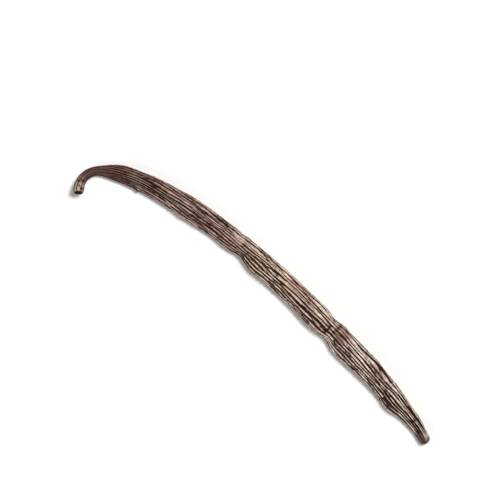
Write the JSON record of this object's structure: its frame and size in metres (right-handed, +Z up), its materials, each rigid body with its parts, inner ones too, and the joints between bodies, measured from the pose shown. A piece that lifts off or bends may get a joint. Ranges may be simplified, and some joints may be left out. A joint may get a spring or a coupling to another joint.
{
  "type": "vanilla pod",
  "caption": "Cured vanilla pod lying on its side: a long, slightly bowed seed capsule with a hooked stem end, a blunt tip and dry lengthwise wrinkles.",
  "frame": {"origin": "centre of the pod's outline on the ground it lies on", "axes": "+Z up from the ground, +X from the hooked stem end towards the tip, +Y towards the outer side of the bow"},
  "size_m": [0.1508, 0.0236, 0.0066],
  "materials": {
    "pod_skin": "dark brown dried plant skin, wrinkled, with near-black grooves, greyish tan crests and a dull oily sheen"
  },
  "bodies": {
    "root": {"vanilla_pod": "pod_skin"}
  },
  "joints": []
}
